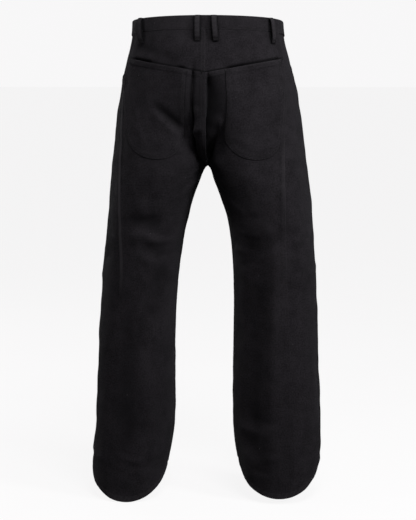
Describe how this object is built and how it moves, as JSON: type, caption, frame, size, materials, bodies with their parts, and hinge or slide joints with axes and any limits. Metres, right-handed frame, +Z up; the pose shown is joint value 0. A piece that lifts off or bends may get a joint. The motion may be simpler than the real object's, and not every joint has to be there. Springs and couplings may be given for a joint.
{
  "type": "wide leg jeans",
  "caption": "Hollow high-waisted denim trousers in worn form, with straight wide legs, curved back yoke, round-bottomed patch pockets, belt loops and a closed fly.",
  "frame": {"origin": "centre of the waist, level with the middle of the waistband, where the wearer holds the garment up", "axes": "+Z up, the front faces -Y, the wearer's left is +X"},
  "size_m": [0.5188, 0.2554, 1.0742],
  "materials": {
    "back_left": "matt black denim",
    "back_pocket_left": "matt black denim",
    "back_pocket_right": "matt black denim",
    "back_right": "matt black denim",
    "fly_placket": "matt black denim",
    "front_left": "matt black denim",
    "front_right": "matt black denim",
    "loop_back_left": "matt black denim",
    "loop_back_right": "matt black denim",
    "loop_front_left": "matt black denim",
    "loop_front_right": "matt black denim",
    "loop_side_left": "matt black denim",
    "loop_side_right": "matt black denim",
    "pocket_facing_left": "matt black denim",
    "pocket_facing_right": "matt black denim",
    "waist_button": "dark satin metal",
    "waistband_back": "matt black denim",
    "waistband_left": "matt black denim",
    "waistband_right": "matt black denim",
    "yoke_left": "matt black denim",
    "yoke_right": "matt black denim",
    "zip_slider": "dark satin metal",
    "zip_tape": "matt black denim"
  },
  "bodies": {
    "root": {"back_left": "back_left", "back_pocket_left": "back_pocket_left", "back_pocket_right": "back_pocket_right", "back_right": "back_right", "fly_placket": "fly_placket", "front_left": "front_left", "front_right": "front_right", "loop_back_left": "loop_back_left", "loop_back_right": "loop_back_right", "loop_front_left": "loop_front_left", "loop_front_right": "loop_front_right", "loop_side_left": "loop_side_left", "loop_side_right": "loop_side_right", "pocket_facing_left": "pocket_facing_left", "pocket_facing_right": "pocket_facing_right", "waist_button": "waist_button", "waistband_back": "waistband_back", "waistband_left": "waistband_left", "waistband_right": "waistband_right", "yoke_left": "yoke_left", "yoke_right": "yoke_right", "zip_slider": "zip_slider", "zip_tape": "zip_tape"}
  },
  "joints": []
}
